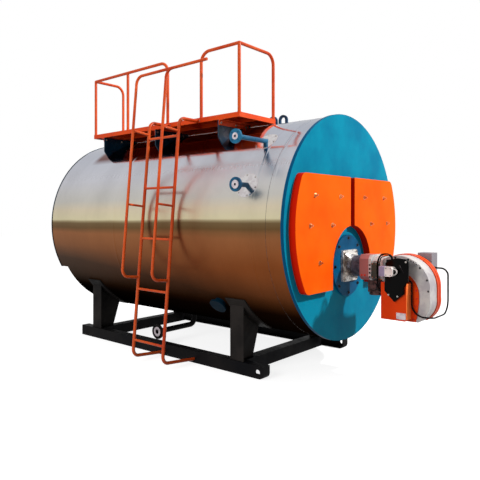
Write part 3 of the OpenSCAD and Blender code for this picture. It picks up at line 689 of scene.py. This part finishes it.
# Lapped seams round the cladding, their rivets, and a dark ring beside the front seam as its painted shadow
seams = {
    "places": (0.537, 0.360, -1.476),
    "width": 0.034,
    "proud": 0.0012,
    "sunk": 0.002,  # how far the rings reach into the sheet
    "steps": 240,
    # the ring of painted shadow beside the front seam: its width and how far it stands out
    "gap": 0.003,
    "shadowProud": 0.0004,
    "rivets": 64,
    "rivetSide": 0.010,  # from the seam's edge
    "rivet": boltSizes(0.0032, 0.0016, 0.0036, 0.001, 0.001, 12),
}


# A point on the cladding, degrees from the top towards the near side, and the direction out of it
def onBarrel(x, degrees, lift=0.0):
    r = boiler["radius"] + lift
    angle = math.radians(degrees)
    return (x, -r * math.sin(angle), boiler["axisZ"] + r * math.cos(angle)), (0.0, -math.sin(angle), math.cos(angle))


def makeSeams():
    r, w, t = boiler["radius"], seams["width"], seams["proud"]
    low, z, steps = r - seams["sunk"], boiler["axisZ"], seams["steps"]
    profile = [(low, 0.0), (r + t * 0.7, 0.0), (r + t, 0.002), (r + t, w - 0.004), (r + 0.0002, w), (low, w)]
    shape = bmesh.new()
    for x in seams["places"]:
        lathe(shape, profile, (x - w / 2, 0.0, z), toFront, steps)
    addShape("claddingSeams", shape, finishes["stainless"], 20)
    places = [onBarrel(x - w / 2 + seams["rivetSide"], 360 * (i + 0.5) / seams["rivets"], t)
              for x in seams["places"][:2] for i in range(seams["rivets"])]
    boltField("claddingRivets", places, seams["rivet"], finishes["stainless"])
    # a dark ring as the front seam's painted shadow
    gap, top = seams["gap"], r + seams["shadowProud"]
    shape = bmesh.new()
    lathe(shape, [(low, 0.0), (top, 0.0), (top, gap), (low, gap)], (seams["places"][0] - w / 2 - gap, 0.0, z),
          toFront, steps)
    addShape("seamShadow", shape, darkSteel, 30)


makeSeams()

# Gauge nozzles: the flanges' faces, the welds behind them and the screws of the collars
gauge = {
    "faceRadius": (0.030, 0.037),
    "bore": 0.011,
    "faceDepth": 0.002,
    "weldBack": 0.0185,  # behind the face
    "weldRadius": 0.0205,
    "weldBead": 0.004,
    "screwRadius": 0.099,
    "screws": 6,
    "firstScrew": 15,  # degrees
    "collar": 0.003,  # the collar's thickness
    "screw": boltSizes(0.006, 0.004, 0.008, 0.002, 0.002),
}


def makeGauges():
    faces, welds, screws = bmesh.new(), bmesh.new(), []
    x, y, bore, depth = boiler["gaugeX"], boiler["gaugeY"], gauge["bore"], gauge["faceDepth"]
    for z, outer in zip(boiler["gaugeZ"], gauge["faceRadius"]):
        profile = [(bore, 0.0), (bore, depth - 0.0006), (bore + 0.0006, depth), (outer - 0.001, depth),
                   (outer, depth - 0.001), (outer, 0.0)]
        lathe(faces, profile, (x, y, z), toNear)
        weldRing(welds, (x, y + gauge["weldBack"], z), (0, 1, 0), gauge["weldRadius"], gauge["weldBead"])
        tilt = math.acos((z - boiler["axisZ"]) / boiler["radius"])
        for i in range(gauge["screws"]):
            turn = math.radians(360 / gauge["screws"] * i + gauge["firstScrew"])
            reach = tilt + gauge["screwRadius"] * math.sin(turn) / boiler["radius"]
            screws.append(onBarrel(x + gauge["screwRadius"] * math.cos(turn), math.degrees(reach), gauge["collar"]))
    addShape("gaugeFaces", faces, paleFace, 40)
    addShape("gaugeWelds", welds, finishes["pipe_paint"], 60)
    boltField("collarScrews", screws, gauge["screw"], boltSteel)


makeGauges()

# Clamping studs of the doors, the same on both
doorStuds = {
    "places": ((0.238, 1.620), (0.674, 1.622), (0.383, 1.366), (0.753, 1.366), (0.597, 1.048)),
    "stud": boltSizes(0.0155, 0.015, 0.021, 0.009, 0.028),
}
studSpots = [(boiler["doorX"], side * y, z) for side in (-1, 1) for y, z in doorStuds["places"]]
boltField("doorStuds", facing(toFront, studSpots), doorStuds["stud"], studZinc)

# Bolts of the burner's plates, castings and fan housing
burner = {
    "mountX": 0.725,
    "mountPitch": 0.255,
    "mountBolts": 8,
    "flangeX": 0.745,
    "flangePitch": 0.118,
    "headSideY": -0.110,
    "headBolts": ((0.912, 0.916), (0.941, 0.917)),
    "blockBolts": ((0.987, 0.905), (0.987, 0.940), (0.987, 0.975), (0.987, 1.010)),
    # from the fan's centre in millimetres
    "archBolts": ((125, 57), (152, -20), (156, -85), (150, -150), (140, -215), (130, -262)),
    "rimInset": 0.014,
    "rimBolts": (-4, 17, 43, 70, 96),  # degrees round the rim
    "bolt": boltSizes(0.0125, 0.011, 0.016, 0.006, 0.016),
    "screw": boltSizes(0.007, 0.006, 0.009, 0.003, 0.004),
}


# A point from the fan's centre, x and z in millimetres and y in metres
def atFan(x, z, y):
    return (boiler["fanX"] + x / 1000, y, boiler["fanZ"] + z / 1000)


def onRim(degrees):
    reach = (boiler["fanRadius"] - burner["rimInset"]) * 1000
    turn = math.radians(degrees)
    return atFan(reach * math.cos(turn), reach * math.sin(turn), boiler["rimY"])


def makeBurnerBolts():
    z, pitch = boiler["burnerZ"], burner["mountPitch"]
    turns = [2 * math.pi * i / burner["mountBolts"] for i in range(burner["mountBolts"])]
    spots = [(burner["mountX"], pitch * math.cos(turn), z + pitch * math.sin(turn)) for turn in turns]
    boltField("mountBolts", facing(toFront, spots), burner["bolt"], darkSteel)
    pitch = burner["flangePitch"]
    spots = [(burner["flangeX"], side * pitch, z + up * pitch) for side in (-1, 1) for up in (-1, 1)]
    boltField("flangeBolts", facing(toFront, spots), burner["bolt"], boltSteel)
    for name, finish, slotName in (("headBolts", boltRed, "orange_paint"), ("blockBolts", darkSteel, "neck_iron")):
        spots = [(x, burner["headSideY"], height) for x, height in burner[name]]
        boltField(name, facing(toNear, spots), burner["screw"], finish)
    spots = [atFan(x, height, boiler["archY"]) for x, height in burner["archBolts"]]
    boltField("intakeBolts", facing(toNear, spots), burner["screw"], boltRed)
    spots = [onRim(degrees) for degrees in burner["rimBolts"]]
    boltField("rimBolts", facing(toNear, spots), burner["screw"], darkSteel)


makeBurnerBolts()

# Round bosses on the fan housing's rim, each with a black disc in its bore as painted shade
housing = {
    "hubs": (52, 58, 64),  # degrees round the rim
    "radius": 0.011,
    "depth": 0.006,
    "ease": 0.001,
    "boreDepth": 0.0012,
}


def makeHousing():
    bosses, boreShades = bmesh.new(), bmesh.new()
    r, deep, edge, bore = housing["radius"], housing["depth"], housing["depth"] - housing["ease"], housing["boreDepth"]
    for degrees in housing["hubs"]:
        spot = onRim(degrees)
        lathe(bosses, [(r * 0.55, 0.0), (r * 0.55, edge), (r * 0.62, deep), (r * 0.94, deep), (r, edge), (r, 0.0)],
              spot, toNear, 24)
        # a black disc at the bottom of each bore: painted shade
        lathe(boreShades, [(0.0004, 0.0), (0.0004, bore), (r * 0.5, bore), (r * 0.56, 0.0)], spot, toNear, 24)
    addShape("housingBosses", bosses, finishes["cast_aluminium"], 40)
    addShape("housingBoreShades", boreShades, finishes["black_plastic"], 40)


makeHousing()

# The cover's pressed panel, its fold, drawn in lighter steel as a painted highlight, its bolts, and the bare plate on
# the intake box;
# places are from the fan's centre in millimetres
controls = {
    "panel": ((-66, -27), (14, -109), (92, -39), (92, 18), (125, 68), (128, 222), (113, 243), (40, 248),
              (-8, 236), (-57, 207), (-65, 24)),
    "panelDepth": 0.005,
    "fold": ((63, 198), (97, 134)),
    "foldHalf": 3,
    "foldDepth": 0.004,
    "coverBolts": ((114, 225), (-33, -58), (44, -66)),
    "coverBolt": boltSizes(0.006, 0.005, 0.008, 0.002, 0.002, 16),
    "plate": (64, -232, 80, 54),  # its middle and size
    "plateDepth": 0.0015,
    "rivetInset": 5,
    "rivet": boltSizes(0.0022, 0.0012, 0.0024, 0.001, 0.001, 12),
}


def makeControls():
    y, deep = boiler["coverY"], controls["panelDepth"]
    shape = bmesh.new()
    slab(shape, [(x / 1000, z / 1000) for x, z in controls["panel"]], atFan(0, 0, y), deep, 0.0022)
    addShape("coverPanel", shape, finishes["black_plastic"], 35)
    start, end = (Vector(point) for point in controls["fold"])
    ridge = (end - start).normalized()
    side = Vector((-ridge.y, ridge.x)) * controls["foldHalf"]
    outline = [(point / 1000)[:] for point in (start + side, start - side, end - side, end + side)]
    # the fold's ridge in lighter steel on the black cover: a painted highlight
    shape = bmesh.new()
    slab(shape, outline, atFan(0, 0, y - deep + 0.0005), controls["foldDepth"], 0.0015)
    addShape("coverFoldHighlight", shape, darkSteel, 35)
    spots = [atFan(x, z, y - deep) for x, z in controls["coverBolts"]]
    boltField("coverBolts", facing(toNear, spots), controls["coverBolt"], boltSteel)
    x, z, wide, high = controls["plate"]
    shape = bmesh.new()
    slab(shape, box(wide / 1000, high / 1000), atFan(x, z, boiler["boxY"]), controls["plateDepth"], 0.0006)
    addShape("barePlate", shape, paleFace, 35)
    a, b = wide / 2 - controls["rivetInset"], high / 2 - controls["rivetInset"]
    face = boiler["boxY"] - controls["plateDepth"]
    spots = [atFan(x + across * a, z + up * b, face) for across in (-1, 1) for up in (-1, 1)]
    boltField("plateRivets", facing(toNear, spots), controls["rivet"], darkSteel)


makeControls()

# The damper servo's cap with two ribs, its knob and its screws; x and z are from the fan's centre in millimetres
servo = {
    "left": -85,
    "split": -38,  # where the cap ends
    "low": 102,
    "high": 182,
    "capY": -0.2205,
    "capDepth": 0.079,
    "capProud": 0.003,
    "ribAside": (-8, 8),
    "rib": (0.004, 0.050),
    "ribY": -0.2990,
    "knobX": 33,
    "knobY": -0.270,
    "knob": ((0.004, 0.0), (0.004, 0.006), (0.016, 0.006), (0.019, 0.003), (0.019, 0.0)),
    "screwX": (-24, 14),
    "screwInset": 12,
    "screwY": -0.298,
    "screw": boltSizes(0.0035, 0.002, 0.004, 0.001, 0.001, 12),
}


def makeServo():
    x, z = (servo["left"] + servo["split"]) / 2, (servo["low"] + servo["high"]) / 2
    wide, tall = (servo["split"] - servo["left"]) / 1000, (servo["high"] - servo["low"]) / 1000
    proud = servo["capProud"]
    shape = bmesh.new()
    slab(shape, box(wide + proud, tall + proud), atFan(x, z, servo["capY"]), servo["capDepth"], 0.003)
    for aside in servo["ribAside"]:
        slab(shape, box(*servo["rib"]), atFan(x + aside, z, servo["ribY"]), 0.0015, 0.0006)
    addShape("servoCap", shape, mauvePlastic, 35)
    shape = bmesh.new()
    lathe(shape, servo["knob"], atFan(servo["knobX"], z, servo["knobY"]), toNear, 32)
    addShape("servoKnob", shape, finishes["black_plastic"], 35)
    heights = (servo["low"] + servo["screwInset"], servo["high"] - servo["screwInset"])
    spots = [atFan(across, height, servo["screwY"]) for across in servo["screwX"] for height in heights]
    boltField("servoScrews", facing(toNear, spots), servo["screw"], darkSteel)


makeServo()

# Four leads past the servo, each a little further in and more slack than the last
leads = {
    # route of the outer lead, from the fan's centre in millimetres
    "route": ((-25, 233), (-27, 258), (-46, 276), (-82, 279), (-118, 270), (-144, 240), (-155, 200),
              (-157, 150), (-156, 90), (-155, 40), (-154, -4), (-146, -28), (-128, -38), (-108, -38)),
    "planes": (-0.178, -0.168, -0.158, -0.148),
    "spread": 7.0,
    "pairSpread": 4.0,
    "turnX": -60,  # the leads run down beyond this
    "topZ": 240,  # and along above this
    "topShare": 0.6,  # how much of the spread is left along the top
    "slack": (6.0, 40.0),  # how far a lead wanders up and down, and how slowly
    "sway": (0.004, 30.0),  # and to the sides, in metres
    "sizes": {"Radius": 0.0042, "Sides": 10, "Cuts": 5},
}


def leadRoute(i):
    inward = leads["spread"] * (i % 2) + leads["pairSpread"] * (i // 2)
    slack, length = leads["slack"]
    route = []
    for x, z in leads["route"][1:-1]:
        down = (inward if z > leads["topZ"] else 0) - slack * math.sin(i + z / length)
        route.append((x + (inward if x < leads["turnX"] else -inward * leads["topShare"]), z - down))
    return [leads["route"][0]] + route + [leads["route"][-1]]


def makeLeads():
    points, edges = [], []
    sway, length = leads["sway"]
    for i, y in enumerate(leads["planes"]):
        route = leadRoute(i)
        edges += [(len(points) + j, len(points) + j + 1) for j in range(len(route) - 1)]
        points += [atFan(x, z, y + sway * math.sin(2 * i + x / length)) for x, z in route]
    mesh = bpy.data.meshes.new("leadRoutes")
    mesh.from_pydata(points, edges, [])
    finish = finishes["black_plastic"]
    mesh = meshFromTree("damperLeads", mesh, leadTree, leads["sizes"], finish)
    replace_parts(addPiece("damperLeads", mesh, finish, 60), "damper_leads")


makeLeads()

# A small box with a lid on the side of the adapter block
sideBox = {
    "middle": (1.036, 0.965),
    "size": (0.047, 0.134),
    "backY": -0.094,
    "depth": 0.031,
    "lid": 0.0055,
    "lidProud": 0.004,
    "ease": 0.002,
    "screwInset": 0.007,
    "screw": boltSizes(0.004, 0.002, 0.0045, 0.001, 0.001, 12),
}


def makeSideBox():
    (x, z), (wide, high) = sideBox["middle"], sideBox["size"]
    back, ease, lid, proud = sideBox["backY"], sideBox["ease"], sideBox["lid"], sideBox["lidProud"]
    face = back - sideBox["depth"]
    shape = bmesh.new()
    slab(shape, box(wide, high), (x, back, z), sideBox["depth"] - 0.006, ease)
    slab(shape, box(wide + proud, high + proud), (x, face + lid, z), lid, ease)
    addShape("sideBox", shape, greenGrey, 35)
    a, b = wide / 2 - sideBox["screwInset"], high / 2 - sideBox["screwInset"]
    spots = [(x + across * a, face, z + up * b) for across in (-1, 1) for up in (-1, 1)]
    boltField("sideBoxScrews", facing(toNear, spots), sideBox["screw"], boltSteel)


makeSideBox()

# Walkway: bolts of its supports, chequered deck, welded posts and the tabs at the stiles' ends
walk = {
    "boltY": (-0.690, -0.462, -0.300),
    "boltDown": 0.026,  # below the edge frame's underside
    "underZ": 2.368,
    "plate": 0.012,
    "cleat": 0.006,
    "bolt": boltSizes(0.009, 0.008, 0.013, 0.005, 0.014),
    "deck": (-2.239, 0.001, -0.722, -0.142),  # ends and sides of the deck
    "tread": {"Long": 0.030, "Wide": 0.005, "High": 0.0012},
    "treadStep": 0.046,
    "treadSunk": 0.0002,
    "post": 0.016,
    "rearPosts": (0.6, 1.25),  # from the rear post along the near side
    "sidePost": 0.42,
    "frontPost": 0.48,
    "postWeld": 0.0035,
    "tab": (0.066, 0.038, 0.005),
    "tabX": (-0.945, -0.525),
    "tabUp": 0.018,
    "tabPitch": 0.025,
    "tabBolt": boltSizes(0.006, 0.005, 0.008, 0.003, 0.008),
}


def makeSupportBolts():
    z = walk["underZ"] - walk["boltDown"]
    spots = []
    for x in boiler["supportX"]:
        proud = walk["plate"] + (walk["cleat"] if x == boiler["supportX"][0] else 0.0)  # the front one has a cleat
        spots += [(x + proud, y, z) for y in walk["boltY"]]
    boltField("cleatBolts", facing(toFront, spots), walk["bolt"], boltSteel)


def makeTreads():
    x0, x1, y0, y1 = walk["deck"]
    step, z = walk["treadStep"], boiler["deckZ"] - walk["treadSunk"]
    spots = [(i, j) for i in range(1, int((x1 - x0) / step)) for j in range(1, int((y1 - y0) / step))]
    mesh = bpy.data.meshes.new("treadPoints")
    mesh.from_pydata([(x0 + i * step, y0 + j * step, z) for i, j in spots], [], [])
    leans = mesh.attributes.new("lean", "FLOAT", "POINT")
    for item, (i, j) in zip(leans.data, spots):
        item.value = math.radians(45 if (i + j) % 2 else -45)
    finish = finishes["orange_paint"]
    addPiece("deckTreads", meshFromTree("deckTreads", mesh, treadTree, walk["tread"], finish), finish)


def makePostWelds():
    x0, x1, y0, y1 = walk["deck"]
    r = walk["post"]
    rear, front, near, far = x0 + r, x1 - r, y0 + r, y1 - r
    posts = [(rear, near)] + [(rear + reach, near) for reach in walk["rearPosts"]] + [
        (rear, near + walk["sidePost"]), (front, near), (front - walk["frontPost"], near), (front, far)]
    shape = bmesh.new()
    for x, y in posts:
        weldRing(shape, (x, y, boiler["deckZ"]), toTop, r, walk["postWeld"], 48)
    addShape("postWelds", shape, finishes["orange_paint"], 60)


def makeStileTabs():
    shape, spots = bmesh.new(), []
    wide, high, thick = walk["tab"]
    y, z = boiler["walkY"], walk["underZ"] + walk["tabUp"]
    for x in walk["tabX"]:
        slab(shape, box(wide, high), (x, y, z), thick, 0.0015)
        spots += [(x + side * walk["tabPitch"], y - thick, z) for side in (-1, 1)]
    addShape("stileTabs", shape, finishes["orange_paint"], 35)
    boltField("tabBolts", facing(toNear, spots), walk["tabBolt"], boltSteel)


makeSupportBolts()
makeTreads()
makePostWelds()
makeStileTabs()

# The raised face of the blowdown nozzle's flange
drain = {
    "faceRadius": 0.052,
    "bore": 0.025,
    "depth": 0.003,
}


def makeDrain():
    outer, bore, deep = drain["faceRadius"], drain["bore"], drain["depth"]
    shape = bmesh.new()
    profile = [(bore, 0.0), (bore, deep - 0.0008), (bore + 0.001, deep), (outer - 0.001, deep), (outer, deep - 0.001),
               (outer, 0.0)]
    lathe(shape, profile, (boiler["blowX"], boiler["blowY"], boiler["blowZ"]), toNear)
    addShape("drainFace", shape, paleFace, 40)


makeDrain()
print("details made")


# A value for diffuse rays, one for mirrors and one for the camera
def pickByRay(nodes, links, plain, mirrored, seen):
    path = nodes.new("ShaderNodeLightPath")
    shiny = nodes.new("ShaderNodeMapRange")
    shiny.inputs["To Min"].default_value = plain
    shiny.inputs["To Max"].default_value = mirrored
    links.new(path.outputs["Is Glossy Ray"], shiny.inputs["Value"])
    both = nodes.new("ShaderNodeMapRange")
    links.new(shiny.outputs["Result"], both.inputs["To Min"])
    both.inputs["To Max"].default_value = seen
    links.new(path.outputs["Is Camera Ray"], both.inputs["Value"])
    return both.outputs["Result"]


# The camera sees a white floor that keeps the boiler's soft shadow
def makeFloor():
    mesh = bpy.data.meshes.new("floor")
    size = 30.0
    mesh.from_pydata([(-size, -size, 0), (size, -size, 0), (size, size, 0), (-size, size, 0)], [], [(0, 1, 2, 3)])
    floor = bpy.data.objects.new("floor", mesh)
    scene.collection.objects.link(floor)
    material, nodes, links, surface = newMaterial("floorPale")
    nodes.remove(surface)
    tone, shine = light["floorSeen"]
    plain = nodes.new("ShaderNodeBsdfDiffuse")
    links.new(pickByRay(nodes, links, light["floorTone"], 0.0, tone), plain.inputs["Color"])
    glow = nodes.new("ShaderNodeEmission")
    links.new(pickByRay(nodes, links, 0.0, light["mirrored"], shine), glow.inputs["Strength"])
    both = nodes.new("ShaderNodeAddShader")
    links.new(plain.outputs[0], both.inputs[0])
    links.new(glow.outputs[0], both.inputs[1])
    links.new(both.outputs[0], nodes["Material Output"].inputs["Surface"])
    mesh.materials.append(material)


def makeWorld():
    world = bpy.data.worlds.new("room")
    scene.world = world
    world.use_nodes = True
    nodes, links = world.node_tree.nodes, world.node_tree.links
    background = nodes["Background"]
    background.inputs["Color"].default_value = grey(1.0)
    links.new(pickByRay(nodes, links, light["ambient"], light["mirrored"], 1.0), background.inputs["Strength"])


lamps = {
    "key": {"place": (6.4, 2.8, 6.2), "aim": (0.5, 0.0, 1.2), "size": 0.5, "power": 780.0, "mirrored": True},
    "side": {"place": (-0.5, -8.0, 3.6), "aim": (-0.8, 0.0, 1.1), "size": 4.0, "power": 310.0, "mirrored": False},
    "top": {"place": (-1.0, 0.5, 8.0), "aim": (-1.0, 0.0, 1.0), "size": 5.0, "power": 220.0, "mirrored": False},
}


def makeLamp(name, place, aim, size, power, mirrored):
    data = bpy.data.lights.new(name, "AREA")
    data.shape = "DISK"
    data.size = size
    data.energy = power
    lamp = bpy.data.objects.new(name, data)
    lamp.location = place
    lamp.rotation_euler = (Vector(aim) - Vector(place)).to_track_quat("-Z", "Y").to_euler()
    lamp.visible_glossy = mirrored
    scene.collection.objects.link(lamp)


makeFloor()
makeWorld()
for lampName, settings in lamps.items():
    makeLamp(lampName, **settings)
print("stage and lamps made")
